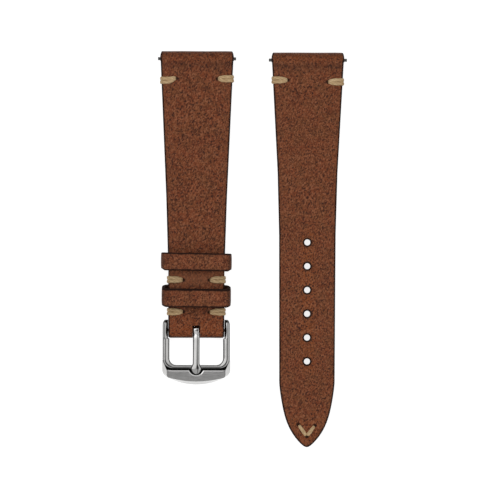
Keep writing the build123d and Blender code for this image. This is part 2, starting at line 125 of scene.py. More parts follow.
class Paint:
    """A material or world, built up node by node."""

    def __init__(self, name, store=bpy.data.materials):
        self.data = store.new(name)
        self.data.use_nodes = True
        self.tree = self.data.node_tree
        self.tree.nodes.clear()

    def node(self, kind, inputs=None, **settings):
        made = self.tree.nodes.new("ShaderNode" + kind)
        for key, value in settings.items():
            setattr(made, key, value)
        for key, value in (inputs or {}).items():
            if isinstance(value, bpy.types.NodeSocket):
                self.tree.links.new(value, made.inputs[key])
            else:
                made.inputs[key].default_value = value
        return made

    def here(self, turn=0.0, stretch=(1, 1, 1), shift=None):
        """The piece's own coordinates in millimetres, turned about Z in degrees, stretched and shifted."""
        source = self.node("TexCoord").outputs["Object"]
        inputs = {"Vector": source, "Rotation": (0, 0, math.radians(turn)), "Scale": (1 / MM,) * 3}
        turned = self.node("Mapping", inputs).outputs[0]
        spot = self.node("VectorMath", {0: turned, 1: stretch}, operation="MULTIPLY").outputs[0]
        if shift is not None:
            spot = self.node("VectorMath", {0: spot, 1: shift}, operation="ADD").outputs[0]
        return spot

    def noise(self, at, scale, detail, rough=0.5, twist=0.0):
        inputs = {"Vector": at, "Scale": scale, "Detail": detail, "Roughness": rough, "Distortion": twist}
        return self.node("TexNoise", inputs).outputs["Fac"]

    def band(self, value, low, high, bottom=0.0, top=1.0):
        """value taken from low..high to bottom..top, with soft ends."""
        inputs = {"Value": value, "From Min": low, "From Max": high, "To Min": bottom, "To Max": top}
        return self.node("MapRange", inputs, interpolation_type="SMOOTHSTEP").outputs[0]

    def calc(self, operation, first, second):
        return self.node("Math", {0: first, 1: second}, operation=operation).outputs[0]

    def mix(self, share, first, second):
        inputs = {0: share, 6: first, 7: second}
        return self.node("Mix", inputs, data_type="RGBA", clamp_factor=True).outputs[2]

    def layers(self, colour, *coats):
        """Colours laid over the first one, each as (mask, strength or None, colour)."""
        for mask, strength, added in coats:
            if strength is not None:
                mask = self.calc("MULTIPLY", mask, strength)
            colour = self.mix(mask, colour, added)
        return colour

    def field(self, name):
        return self.node("Attribute", attribute_name=name).outputs["Fac"]

    def bump(self, height, strength, distance, below=None):
        inputs = {"Height": height, "Strength": strength, "Distance": distance * MM}
        if below is not None:
            inputs["Normal"] = below
        return self.node("Bump", inputs).outputs[0]

    def surface(self, **inputs):
        inputs = {key.replace("_", " "): value for key, value in inputs.items()}
        self.node("OutputMaterial", {"Surface": self.node("BsdfPrincipled", inputs).outputs[0]})
        return self.data


def grain_leather(name, seed, red, olive, ginger):
    """Oiled full-grain leather: slanting pores, clouded colour, darkened by burnishing at its cut edges, with
    painted shade and painted light laid on where its fields ask.
    """
    paint = Paint(name)
    here = paint.here(shift=(seed * 17.3, seed * 9.1, 0))
    slant = paint.here(28, (1.0, 0.55, 0.8), (seed * 5.7, seed * 3.3, 0))
    fine = paint.here(24, (1.0, 0.7, 1.0), (seed * 2.7, seed, 0))
    clouds = paint.band(paint.noise(here, 0.3, 4, 0.62), 0.34, 0.68)
    drift = paint.band(paint.noise(here, 0.55, 3, 0.6, 0.6), 0.5, 0.75)
    heat = paint.band(paint.noise(here, 0.9, 3, 0.65), 0.3, 0.6, 0.5, 1.0)
    strokes = paint.noise(slant, 2.4, 2, 0.5, 0.25)
    pores = paint.band(strokes, 0.50, 0.66)
    ridges = paint.band(strokes, 0.48, 0.34)
    specks = paint.band(paint.noise(fine, 2.9, 1, 0.5), 0.50, 0.64)
    glints = paint.band(paint.noise(fine, 2.6, 1, 0.5), 0.47, 0.33)
    ragged = paint.band(paint.noise(here, 0.8, 3, 0.7), 0.3, 0.7, -0.10, 0.10)
    from_edge = paint.calc("ADD", paint.field("edge"), ragged)
    by_edge = paint.band(from_edge, 1.4, 0.6, 0.0, 0.2)
    burnish = paint.band(from_edge, 0.58, 0.26)
    painted_shade = paint.field("painted_shade")
    colour = paint.layers(
        paint.mix(clouds, srgb(*red), srgb(*olive)),
        (drift, 0.3, srgb(112, 76, 54)),
        # a warmer colour; on the keepers it is painted shade on their rounded shoulders
        (paint.field("warmth_and_shoulder_shade"), heat, srgb(*ginger)),
        (pores, 0.60, srgb(74, 34, 19)),
        (ridges, 0.45, srgb(146, 89, 58)),
        (specks, 0.88, srgb(50, 19, 8)),
        (glints, 0.62, srgb(156, 98, 66)),
        (by_edge, None, srgb(118, 66, 36)),
        (burnish, None, srgb(40, 19, 11)),
        # painted light, lightening the leather where its field asks
        (paint.field("painted_light"), None, srgb(168, 108, 74)),
        # painted shade, darkening the leather where shade falls
        (painted_shade, None, srgb(34, 15, 7)),
    )
    height = paint.calc("SUBTRACT", paint.calc("MULTIPLY", ridges, 0.6), pores)
    grain = paint.bump(specks, 0.3, 0.03, paint.bump(height, 0.5, 0.06))
    rough = paint.band(strokes, 0.3, 0.7, 0.48, 0.62)
    rough = paint.calc("MAXIMUM", rough, paint.calc("MAXIMUM", burnish, painted_shade))
    return paint.surface(Base_Color=colour, Roughness=rough, Normal=grain, Specular_IOR_Level=0.2)


def lining_leather():
    """Undyed calf on the wearer's side, sueded and darkened only where its edge is burnished."""
    paint = Paint("lining_calf")
    here = paint.here()
    nap = paint.noise(here, 3.0, 4, 0.65)
    colour = paint.layers(
        paint.mix(paint.band(paint.noise(here, 0.3, 3), 0.35, 0.65), srgb(158, 116, 80), srgb(143, 101, 66)),
        (paint.band(nap, 0.45, 0.75, 0.0, 0.3), None, srgb(104, 70, 44)),
        (paint.band(paint.field("edge"), 0.7, 0.3), None, srgb(43, 22, 14)),
    )
    rough = paint.band(nap, 0.3, 0.7, 0.62, 0.8)
    return paint.surface(Base_Color=colour, Roughness=rough, Normal=paint.bump(nap, 0.3, 0.04))


def waxed_thread():
    """Flattened linen cord, with painted shade where its plies meet."""
    paint = Paint("waxed_thread")
    here = paint.here()
    fibre = paint.noise(paint.here(0, (0.5, 4.0, 2.0)), 2.2, 3, 0.65)
    colour = paint.layers(
        paint.mix(paint.band(fibre, 0.35, 0.66), srgb(172, 140, 98), srgb(214, 186, 144)),
        (paint.band(paint.noise(here, 0.6, 2), 0.42, 0.68, 0.0, 0.45), None, srgb(178, 144, 104)),
        (paint.field("ply_shade"), 0.35, srgb(120, 90, 56)),
        (paint.field("painted_shade"), None, srgb(62, 38, 22)),
    )
    rough = paint.band(fibre, 0.3, 0.7, 0.48, 0.66)
    return paint.surface(
        Base_Color=colour, Roughness=rough, Normal=paint.bump(fibre, 0.35, 0.05), Specular_IOR_Level=0.35
    )


def polished_steel(name, tone, rough, plate=False):
    """Polished steel with faint handling marks, painted highlights and painted shade where its fields ask,
    and a plate brushed from side to side where asked.
    """
    paint = Paint(name)
    smear = paint.noise(paint.here(), 0.8, 4, 0.6)
    scratch = paint.noise(paint.here(71, (9.0, 0.35, 1.0)), 1.0, 3, 0.6)
    bright = (tone, tone * 0.99, tone * 0.975, 1)
    dull = (tone * 0.92, tone * 0.91, tone * 0.895, 1)
    colour = paint.layers(
        paint.mix(paint.band(smear, 0.35, 0.7), bright, dull),
        # painted highlight and painted shade from the piece's fields, standing for light and the unlit room
        # mirrored in the steel
        (paint.field("painted_light"), None, (0.66, 0.653, 0.645, 1)),
        (paint.field("painted_shade"), None, grey(0.03)),
    )
    finish = paint.band(smear, 0.3, 0.75, rough, rough + 0.07)
    normal = paint.bump(paint.band(scratch, 0.56, 0.75), 0.10, 0.01)
    if plate:  # it lies above 3.38 mm and in front of y = -32.9
        brushed = paint.noise(paint.here(3, (0.22, 6.5, 1.0)), 1.6, 4, 0.7)
        _, ahead, high = paint.node("SeparateXYZ", {0: paint.here()}).outputs
        on_plate = paint.calc("MULTIPLY", paint.band(high, 3.38, 3.395), paint.band(ahead, -32.9, -33.0))
        streaks = paint.mix(paint.band(brushed, 0.3, 0.7), (0.36, 0.356, 0.352, 1), (0.52, 0.514, 0.508, 1))
        colour = paint.mix(on_plate, colour, streaks)
        finish = paint.calc("ADD", finish, paint.calc("MULTIPLY", on_plate, 0.30))
        normal = paint.bump(paint.calc("MULTIPLY", brushed, on_plate), 0.35, 0.012, normal)
    return paint.surface(Base_Color=colour, Metallic=1.0, Roughness=finish, Normal=normal)


# Plan of each half, as (half the width, distance) along its side edge
def side_line(stations, end):
    """The side edge from (distance, half width) stations, with a soft corner at the lug edge."""
    corner, cut_back = 1.9, 0.34
    lug = [(stations[0][1] - cut_back * (1 - d / corner) ** 2.2, d) for d in np.linspace(0, corner, 12)]
    distances, halves = zip(*stations)
    return lug + [(float(np.interp(d, distances, halves)), d) for d in np.arange(2.25, end, ROW)]


CORNER_START = 78.3
short_edge = side_line([(0, 10.08), (40, 8.32), (60, 7.7), (SHORT_LENGTH, 7.67)], CORNER_START) + [
    (7.27 + 0.4 * math.cos(a), CORNER_START + 0.4 * math.sin(a)) for a in np.linspace(0, 1.35, 7)
]
# Towards the point, the square of half the width is a polynomial of the distance from its end
POINT_END, POINT_CURVE = 108.27, (1.9922, 0.96484, -0.13142, 0.0069855, -0.00013631)
long_edge = side_line([(0, 9.98), (33, 8.2), (50, 7.75), (89.5, 7.6)], POINT_START) + [
    (math.sqrt(sum(c * t ** (k + 1) for k, c in enumerate(POINT_CURVE))), POINT_END - t)
    for t in 18.7 * np.linspace(1, 0.03, 120) ** 2
]
short = Half(-15.2, 54.3, short_edge, SHORT_LENGTH, 0.0)
long = Half(15.2, 54.0, long_edge, math.inf, 1.15)


def half_width(edge, distance):
    halves, distances = zip(*edge)
    return np.interp(distance, distances, halves)


def edge_distance(edge, across, along):
    """How far each point lies from the line, which runs on the right and is mirrored on the left."""
    line = np.array(edge)
    start, run = line[:-1], np.diff(line, axis=0)
    spots = np.column_stack([np.abs(across), along])
    nearest = np.full(len(spots), np.inf)
    for a, r in zip(start, run):
        t = np.clip(((spots - a) @ r) / (r @ r), 0, 1)
        nearest = np.minimum(nearest, np.hypot(*(spots - a - t[:, None] * r).T))
    return nearest


def sag(strap, distance):
    """How much lower a half lies there: the long one comes down to the floor at its point."""
    return strap.droop * np.clip((distance - NECK) / (LONG_LENGTH - NECK), 0, 1)


def level(spots, height):
    """The spots, each with the same height added as its last coordinate."""
    return np.column_stack([spots, np.full(len(spots), height)])


def folded_path(flap, rows_top=()):
    """Grain and flesh points, as (distance, height), of a layer folded round a bar: from flap to top."""
    keys = np.array([
        [(flap, LOW), (flap, GLUE)],
        [(7.4, LOW), (6.9, GLUE)],
        [(6.1, 1.74), (4.95, 2.77)],
        [(3.04, 0.22), (2.57, 1.33)],
    ])
    pairs = []
    for here, there in zip(keys, keys[1:]):
        steps = max(2, int(math.dist(here[0], there[0]) / 0.22))
        pairs += [here * (1 - t) + there * t for t in np.arange(steps) / steps]
    for angle in np.radians(np.linspace(-63.5, -272.8, 44)):
        turn = np.array([math.cos(angle), math.sin(angle)])
        pairs.append((BAR + FOLD * turn, BAR + BORE * turn))
    for t in np.linspace(0, 1, 20)[1:]:
        dip = 0.16 * math.sin(math.pi * min(1, t * 1.15)) ** 2
        grain = (2.2 + 4.2 * t, 4.197 - 0.197 * t - dip)
        flesh = (2.15 + 4.05 * t, 3.0 - 0.2 * min(1, t * 1.4))
        pairs.append((grain, flesh))
    outer, inner = np.swapaxes(np.array(pairs), 0, 1).copy()
    for _ in range(6):
        for line in (outer, inner):
            line[1:-1] += 0.25 * (line[:-2] + line[2:] - 2 * line[1:-1])
    return np.vstack([outer, level(rows_top, TOP)]), np.vstack([inner, level(rows_top, GLUE)])


def shell(name, grain, flesh, material, closed=False):
    """A skin between two matching grids of points."""
    rows, columns = grain.shape[:2]
    around = 2 * columns
    faces = []
    for i in range(rows if closed else rows - 1):
        faces += quads(i * around, (i + 1) % rows * around, around)
    if not closed:
        for a in (0, (rows - 1) * around):
            faces += [(a + j, a + around - 1 - j, a + around - 2 - j, a + j + 1) for j in range(columns - 1)]
    return mesh_object(name, np.concatenate([grain, flesh[:, ::-1]], axis=1), faces, material)


# Points across a half, as shares of half its width, closest at its edges
TYPICAL_HALF = 8.4
near_edge = [0, 0.02, 0.06, 0.12, 0.2, 0.3, 0.42, 0.6, 0.85, 1.15, 1.5, 1.9, 2.35, 2.8]
inside = [1 - e / TYPICAL_HALF for e in near_edge] + list(np.linspace(1 - 3.2 / TYPICAL_HALF, 0, 19))
shares = np.array([-s for s in inside] + inside[-2::-1])


def round_off(edge, radius):
    """How far a rounded edge falls back, by the distance from it."""
    short_of = np.clip(radius - edge, 0, radius)
    return radius - np.sqrt(np.maximum(radius**2 - short_of**2, 0))


# Stitches: side, distance along, and how far on from there their hole lies
short_stitches = {
    "short_lug_stitch_left": (-1, 8.07, -0.5), "short_lug_stitch_right": (1, 7.63, 0.0),
    "keeper_stitch_upper_left": (-1, 62.7, 0.1), "keeper_stitch_upper_right": (1, 62.7, 0.1),
    "keeper_stitch_lower_left": (-1, 71.5, 0.0), "keeper_stitch_lower_right": (1, 71.5, 0.1),
}
long_stitches = {"long_lug_stitch_left": (-1, 7.63, 0.0), "long_lug_stitch_right": (1, 8.07, 0.0)}
vee = [(-2.3, 102.05), (2.2, 102.3), (0.0, 105.3)]


def stitch_holes(strap, stitches):
    return [(s * (half_width(strap.edge, d) - STITCH_HOLE), d + lift) for s, d, lift in stitches.values()]


def leather_half(name, strap, path, holes, material):
    """One layer of leather over the plan of a half, its edges rounded and its stitch holes drawn in."""
    outer, inner = path
    inward = (inner - outer) / np.linalg.norm(inner - outer, axis=1)[:, None]
    grids = []
    for line, radius, push in ((outer, GRAIN_ROUND, inward), (inner, FLESH_ROUND, -inward)):
        widths = np.minimum(half_width(strap.edge, line[:, 0]), half_width(strap.edge, outer[:, 0]))
        across = widths[:, None] * shares[None, :]
        along = np.repeat(line[:, :1], len(shares), axis=1)
        edge = edge_distance(strap.edge, across.ravel(), along.ravel()).reshape(across.shape)
        drop = round_off(edge, radius)
        if line is outer:
            turned = ease(along, 0.8, 4.0) * ease(strap.far_fold - along, 0.8, 4.0)
            drop = drop * (0.45 + 0.55 * turned) + 0.2 * turned * (1 - ease(edge, 0.0, 2.8))
            swell = np.sin(along * 0.21 + across * 0.17) * np.sin(along * 0.13 - across * 0.31 + 1.0)
            drop = drop + 0.03 * swell * ease(edge, 0.3, 2.0)
            if strap is short:
                by_tongue = ease(along, 74.2, 76.4) * ease(line[:, 1:], 2.4, 3.2)
                drop = drop + 0.2 * bell(across, 0, 1.7) * by_tongue
            for x, d in holes:
                gap = np.hypot(across - x, along - d)
                drop = drop + 0.34 * bell(gap, 0, 0.42) * (line[:, 1] > 3)[:, None]
        distance = along + push[:, :1] * drop
        height = line[:, 1:] + push[:, 1:] * drop - sag(strap, distance)
        grids.append(np.dstack([strap.x + across, strap.y - distance, height]))
    return shell(name, grids[0], grids[1], material)


def lathe(profile, x, y, material, count=40):
    """A round cutter from (radius, height) points."""
    points = [(x, y, profile[0][1]), (x, y, profile[-1][1])]
    turns = np.arange(count) * 2 * math.pi / count
    for r, z in profile:
        points += [(x + r * math.cos(t), y + r * math.sin(t), z) for t in turns]
    faces = []
    for i in range(len(profile) - 1):
        faces += quads(2 + i * count, 2 + (i + 1) * count, count)
    last = 2 + (len(profile) - 1) * count
    for j in range(count):
        k = (j + 1) % count
        faces += [(0, 2 + k, 2 + j), (1, last + j, last + k)]
    return mesh_object("cutter", points, faces, material)


def cut(pieces, cutters):
    """Takes the cutters out of each piece, and then deletes them."""
    for made in pieces:
        for cutter in cutters:
            change = made.modifiers.new("cut", "BOOLEAN")
            change.operation, change.solver, change.object = "DIFFERENCE", "EXACT", cutter
        bpy.context.view_layer.update()
        fresh = bpy.data.meshes.new_from_object(made.evaluated_get(bpy.context.evaluated_depsgraph_get()))
        made.modifiers.clear()
        made.data = fresh
        fresh.polygons.foreach_set("use_smooth", [True] * len(fresh.polygons))
        crisp(fresh, 0.7)
    for cutter in cutters:
        bpy.data.objects.remove(cutter)


def own_points(made):
    flat = np.empty(len(made.data.vertices) * 3)
    made.data.vertices.foreach_get("co", flat)
    return flat.reshape(-1, 3) / MM


def write_field(made, name, values):
    made.data.attributes.new(name, "FLOAT", "POINT").data.foreach_set("value", np.asarray(values, np.float32))


def leather_fields(made, strap, holes=(), fold_warmth=0.0, extra=None):
    """How far from the cut edge, how much warmer in colour and how much painted shade each point of a half
    gets.
    """
    at = own_points(made)
    across, along, high = at[:, 0] - strap.x, strap.y - at[:, 1], at[:, 2]
    warmth_and_shoulder_shade = fold_warmth * bell(along, 1.4, 1.2)
    painted_shade = np.zeros(len(at))
    # painted shade round the stitch holes
    for x, d in holes:
        gap = np.hypot(across - x, (along - d) * 1.1)
        painted_shade = np.maximum(painted_shade, 0.95 * (1 - ease(gap, 0.34, 0.74)))
    if extra is not None:
        more, less = extra(across, along, high)
        warmth_and_shoulder_shade, painted_shade = np.maximum(warmth_and_shoulder_shade, more), np.maximum(painted_shade, less)
    write_field(made, "edge", edge_distance(strap.edge, across, along))
    write_field(made, "warmth_and_shoulder_shade", np.clip(warmth_and_shoulder_shade, 0, 1))
    write_field(made, "painted_shade", np.clip(painted_shade, 0, 1))


def fold_crease(along, high, share):
    """Painted shade where the top leaves the fold, and towards the lug edge."""
    return share * bell(along, 3.9, 1.0) * (high > 3) + 0.3 * (1 - ease(along, 0.3, 3.0))


leather_short = grain_leather("leather_short", 1, (120, 59, 29), (112, 62, 31), (138, 66, 22))
leather_long = grain_leather("leather_long", 4, (120, 60, 30), (113, 64, 33), (140, 72, 28))
# the keepers' ginger colours the painted shade on their rounded shoulders
leather_keeper = grain_leather("leather_keeper", 7, (122, 62, 33), (112, 64, 34), (86, 34, 6))
lining = lining_leather()
thread = waxed_thread()

# Short half: its outer leather runs from one flap, over the top, to the other flap
KEEPER_STITCH, SLOT_START = 62.2, 75.45
BUCKLE_Y = -22.3


def mirrored(line):
    return np.column_stack([SHORT_LENGTH - line[::-1, 0], line[::-1, 1]])


def make_room(line):
    """The layers part round the fixed keeper, which bulges the underside."""
    along, high = line.T
    last_flap = (along > 60) & (along < 71) & (np.arange(len(line)) > len(line) * 0.6)
    bulge = ease(along, 63.3, 64.1) * (1 - ease(along, 69.0, 69.8))
    line[:, 1] -= np.where(last_flap & (high < GLUE + 0.01), 1.05 * bulge, 0)
    return line


lug_outer, lug_inner = folded_path(FLAP)
far_outer, far_inner = folded_path(SHORT_LENGTH - BUCKLE_FLAP)
middle = np.arange(lug_outer[-1][0] + ROW, SHORT_LENGTH - far_outer[-1][0] - 0.1, ROW)
short_outer = make_room(np.vstack([lug_outer, level(middle, TOP), mirrored(far_outer)]))
short_inner = make_room(np.vstack([lug_inner, level(middle, GLUE), mirrored(far_inner)]))
short_holes = stitch_holes(short, short_stitches)
short_leather = leather_half("short_leather", short, (short_outer, short_inner), short_holes, leather_short)

# The tongue's slot: square at the face and inside, and close round the tongue's curl below
corner = np.radians(np.linspace(0, 90, 12))


def nose(angle):
    """The tongue's curl from above, by the angle round its bar: reach past the bar, half the width."""
    return 0.93 * max(math.cos(angle), 0.0) ** 0.9, 0.52 + 0.41 * max(math.sin(angle), 0.0) ** 0.5


def slot_end(reach):
    return [(0.85 + 0.12 * math.cos(a), reach - 0.12 + 0.12 * math.sin(a)) for a in corner]


round_curl = [
    (nose(a)[1] + 0.03, nose(a)[0] + 0.12 - 0.26 * float(ease(math.sin(a), 0.0, 0.2))) for a in corner[::-1]
]
cutters = []
for end, low, high in ((slot_end(1.24), 2.6, 5.0), (slot_end(1.42), 1.15, 2.61), (round_curl, -0.5, 1.16)):
    right_side = [(0.97, -3.4)] + end
    outline = right_side + [(-x, y) for x, y in right_side[::-1]]
    count = len(outline)
    points = [(short.x + x, BUCKLE_Y + y, z) for z in (low, high) for x, y in outline]
    faces = quads(0, count, count) + [tuple(range(count))[::-1], tuple(range(count, 2 * count))]
    cutters.append(mesh_object("slot_cutter", points, faces, leather_short, smooth=False))
cut([short_leather], cutters)


def short_extra(across, along, high):
    """Painted shade round the tongue's slot and at the buckle end, and a warmer colour towards the buckle."""
    gap = np.hypot(np.maximum(np.abs(across) - 0.9, 0), np.maximum(SLOT_START - along, 0))
    slot = 0.8 * (1 - ease(gap, 0.05, 0.25)) * (along > 74.8)
    end = 0.85 * ease(along, 78.0, 78.6)
    warmth_and_shoulder_shade = 0.62 * ease(along, 70.5, 76.5)
    return warmth_and_shoulder_shade, np.maximum(np.maximum(slot, fold_crease(along, high, 0.30)), end)


leather_fields(short_leather, short, short_holes, 0.5, short_extra)
# Painted light: the top of the short half lightened between the keepers, where their shadow falls
at = own_points(short_leather)
write_field(short_leather, "painted_light", 0.3 * bell(short.y - at[:, 1], KEEPER_STITCH, 2.0) * (at[:, 2] > 3))
place(short_leather, "strap_halves", "grain_leather", "short_outer_leather")


def lining_skin(name, strap, distances):
    return leather_half(name, strap, (level(distances, LOW), level(distances, GLUE)), [], lining)


short_lining = lining_skin("short_lining_skin", short, np.arange(FLAP + 0.1, BUCKLE_FLAP - 0.05, 0.5))
leather_fields(short_lining, short)
place(short_lining, "strap_halves", "lining_leather", "short_lining")

# Long half: one fold, six holes, a point
tail = [*np.arange(6.7, POINT_START, ROW), *(d for _, d in long.edge if d > POINT_START)]
long_holes = stitch_holes(long, long_stitches) + vee
long_leather = leather_half("long_leather", long, folded_path(FLAP, tail), long_holes, leather_long)
long_lining = lining_skin("long_lining_skin", long, [d for d in tail if d > FLAP + 0.1])
rim_profile = [
    (0.84, -3.2), (0.84, -0.35), (0.88, -0.2), (1.0, -0.08), (1.2, -0.01), (1.35, 0.05), (1.35, 0.5),
]
cutters = []
for d in HOLES:
    face = TOP - float(sag(long, d))
    cutters.append(lathe([(r, face + z) for r, z in rim_profile], long.x, long.y - d, leather_long))
cut([long_leather, long_lining], cutters)


def long_extra(across, along, high):
    """Painted shade round the holes' rims, with warmer leather along their line."""
    gap = np.full(len(across), np.inf)
    for d in HOLES:
        gap = np.minimum(gap, np.hypot(across, along - d))
    rims = 0.97 * (1 - ease(gap, 1.16, 1.44))
    warmth_and_shoulder_shade = 0.55 * (1 - ease(np.abs(across), 1.0, 2.6)) * ease(along, 47, 51) * (1 - ease(along, 86, 90))
    warmth_and_shoulder_shade = np.maximum(warmth_and_shoulder_shade, 0.35 * ease(along, 98, 103))
    for x, d in vee:
        warmth_and_shoulder_shade = np.maximum(warmth_and_shoulder_shade, 0.6 * (1 - ease(np.hypot(across - x, along - d), 0.8, 2.0)))
    return warmth_and_shoulder_shade, np.maximum(rims, fold_crease(along, high, 0.32))


leather_fields(long_leather, long, long_holes, 0.6, long_extra)
leather_fields(long_lining, long)
place(long_leather, "strap_halves", "grain_leather", "long_outer_leather")
place(long_lining, "strap_halves", "lining_leather", "long_lining")


# Thread
def smooth_line(points):
    """A soft line through the points, cut into even steps, and how far along each step lies."""
    step = 0.07
    p = np.array([points[0]] + list(points) + [points[-1]], float)
    line = []
    for i in range(1, len(p) - 2):
        for t in np.linspace(0, 1, 12, endpoint=False):
            slope = p[i + 1] - p[i - 1]
            curve = 2 * p[i - 1] - 5 * p[i] + 4 * p[i + 1] - p[i + 2]
            twist = 3 * p[i] - p[i - 1] - 3 * p[i + 1] + p[i + 2]
            line.append(0.5 * (2 * p[i] + slope * t + curve * t**2 + twist * t**3))
    line.append(p[-2])
    line = np.array(line)
    length = np.concatenate([[0], np.cumsum(np.linalg.norm(np.diff(line, axis=0), axis=1))])
    even = np.linspace(0, length[-1], int(length[-1] / step) + 2)
    return np.column_stack([np.interp(even, length, line[:, k]) for k in range(3)]), even


def strand(points, wide, thick, flats, phase, taper):
    """One flattened three-ply cord along the points; flats gives the way its flat side faces at each."""
    around, lay = 28, 4.6
    line, run = smooth_line(points)
    face, _ = smooth_line(flats)
    here, there = np.linspace(0, 1, len(line)), np.linspace(0, 1, len(face))
    face = np.column_stack([np.interp(here, there, face[:, k]) for k in range(3)])
    ahead = np.gradient(line, axis=0)
    ahead /= np.linalg.norm(ahead, axis=1)[:, None]
    face -= (face * ahead).sum(axis=1)[:, None] * ahead
    face /= np.linalg.norm(face, axis=1)[:, None]
    sideways = np.cross(ahead, face)
    turn = np.arange(around) * 2 * math.pi / around
    ply = np.cos(1.5 * (turn[None, :] + 2 * math.pi * run[:, None] / lay + phase)) ** 2
    swell = 0.90 + 0.10 * np.sqrt(ply)
    swell = swell * (1 + 0.025 * np.sin(run * 7.0 + phase))[:, None]
    wide = wide * (1 - taper * (1 - ease(run, 0.5, 2.3)))
    across = wide[:, None] / 2 * np.cos(turn)[None, :] * swell
    points = line[:, None] + sideways[:, None] * across[..., None]
    points = points + face[:, None] * (thick / 2 * np.sin(turn))[None, :, None] * swell[..., None]
    # the second value is painted shade where the plies meet
    return points, (1 - ease(ply, 0.0, 0.28)).ravel()


def tubes(name, strands, spots):
    """Closed tubes of thread, joined as one piece, with painted shade where they dive into the leather."""
    faces, base = [], 0
    for grid, _ in strands:
        rows, around = grid.shape[:2]
        faces += tube_faces(rows, around, base)
        base += rows * around
    made = mesh_object(name, np.vstack([grid.reshape(-1, 3) for grid, _ in strands]), faces, thread)
    write_field(made, "ply_shade", np.concatenate([ply_shade for _, ply_shade in strands]))
    at = own_points(made)
    painted_shade = np.zeros(len(at))
    for x, y, z in spots:
        near = (np.hypot(at[:, 0] - x, at[:, 1] - y) < 0.9) * (at[:, 2] > z - 1.0)
        painted_shade = np.maximum(painted_shade, 0.85 * (1 - ease(at[:, 2] - z, -0.25, 0.12)) * near)
    write_field(made, "painted_shade", painted_shade)
    return made


def edge_stitch(name, strap, which, distance, lift):
    """Two strands from one hole, over the top, round the edge and back underneath."""
    half = float(half_width(strap.edge, distance))
    down = float(sag(strap, distance))
    top, low = TOP - down, LOW - down
    flats = [
        (-0.9, 0, 0.4), (-0.6, 0, 0.8), (0, 0, 1), (0, 0, 1), (0.2, 0, 1), (0.6, 0, 0.7), (1, 0, 0.25),
        (1, 0, 0), (1, 0, -0.3), (0.6, 0, -0.8), (0, 0, -1), (0, 0, -1), (-0.6, 0, -0.8), (-0.9, 0, -0.3),
    ]
    strands = []
    for k, shift in enumerate((-0.5, 0.5)):
        hole_shift = lift + shift * 0.42
        wobble = rng.uniform(-0.05, 0.05, 6)
        spine = [
            (half - 3.88, hole_shift, top - 0.8),
            (half - 3.78, hole_shift, top - 0.2),
            (half - 3.35, lift * 0.8 + shift * 0.66 + wobble[0], top + 0.15),
            (half - 2.4, lift * 0.25 + shift * 0.92 + wobble[1], top + 0.22),
            (half - 1.1, shift + wobble[2], top + 0.12),
            (half - 0.25, shift + wobble[3] * 0.5, top - 0.12),
            (half + 0.12, shift, top - 0.6),
            (half + 0.16, shift, (top + low) / 2),
            (half + 0.06, shift, low + 0.35),
            (half - 0.35, shift, low - 0.15),
            (half - 1.6, shift, low - 0.24),
            (half - 3.4, shift * 0.9, low - 0.22),
            (half - 4.05, shift * 0.55, low - 0.02),
            (half - STITCH_HOLE, shift * 0.4, low + 0.6),
        ]
        route = [(strap.x + which * x, strap.y - distance - d, z) for x, d, z in spine]
        faces = [(which * x, -d, z) for x, d, z in flats]
        strands.append(strand(route, 1.0, 0.5, faces, phase=1.7 * k, taper=0.3))
    hole = (strap.x + which * (half - 4.1), strap.y - distance - lift, top)
    place(tubes(name + "_cord", strands, [hole]), "strap_halves", "thread", name)


for strap, stitches in ((short, short_stitches), (long, long_stitches)):
    for name, (which, distance, lift) in stitches.items():
        edge_stitch(name, strap, which, distance, lift)

# V of thread at the point, with the same two stitches underneath
strands, spots = [], []
for k, (x, d) in enumerate(vee[:2]):
    top, low = TOP - float(sag(long, d)), LOW - float(sag(long, d)) - 0.05
    away = np.array([vee[2][0] - x, vee[2][1] - d])
    length = np.linalg.norm(away)
    away /= length
    steps = [0.42, 0.45, 0.75, length / 2, length - 0.9, length - 0.5, length - 0.45]
    rise = zip(steps, (top - 0.7, top - 0.05, top + 0.18, top + 0.24, top + 0.18, top - 0.05, top - 0.7))
    sink = zip(steps[::-1], (low + 0.8, low, low - 0.2, low - 0.22, low - 0.2, low, low + 0.8))
    for route, up in ((rise, 1), (sink, -1)):
        spine = [(long.x + (x + away[0] * t), long.y - (d + away[1] * t), z) for t, z in route]
        strands.append(strand(spine, 1.02, 0.52, [(0, 0, up)] * len(spine), phase=2.1 * k, taper=0.2))
    spots += [(long.x + x, long.y - d, top), (long.x + vee[2][0], long.y - vee[2][1], top)]
place(tubes("tip_stitch_cord", strands, spots), "strap_halves", "thread", "tip_stitch")


# Keepers: bands of leather bent into a loop
def loop(half, low, high, radius):
    """A rounded rectangle in X and Z, evenly cut, from the middle of its underside."""
    step = 0.3
    right_x, left_x, low_z, high_z = half - radius, -half + radius, low + radius, high - radius
    points = [(0.0, low)]
    corners = ((right_x, low_z, -90), (right_x, high_z, 0), (left_x, high_z, 90), (left_x, low_z, 180))
    for cx, cz, first in corners:
        angles = [math.radians(first + a) for a in np.linspace(0, 90, 14)]
        bend = [(cx + radius * math.cos(a), cz + radius * math.sin(a)) for a in angles]
        steps = max(2, int(math.dist(points[-1], bend[0]) / step))
        start, stop = np.array(points[-1]), np.array(bend[0])
        points += [tuple(start * (1 - t) + stop * t) for t in np.arange(1, steps) / steps]
        points += bend
    steps = int(abs(points[-1][0]) / step)
    points += [(points[-1][0] * (1 - t), low) for t in np.arange(1, steps) / steps]
    return np.array(points)


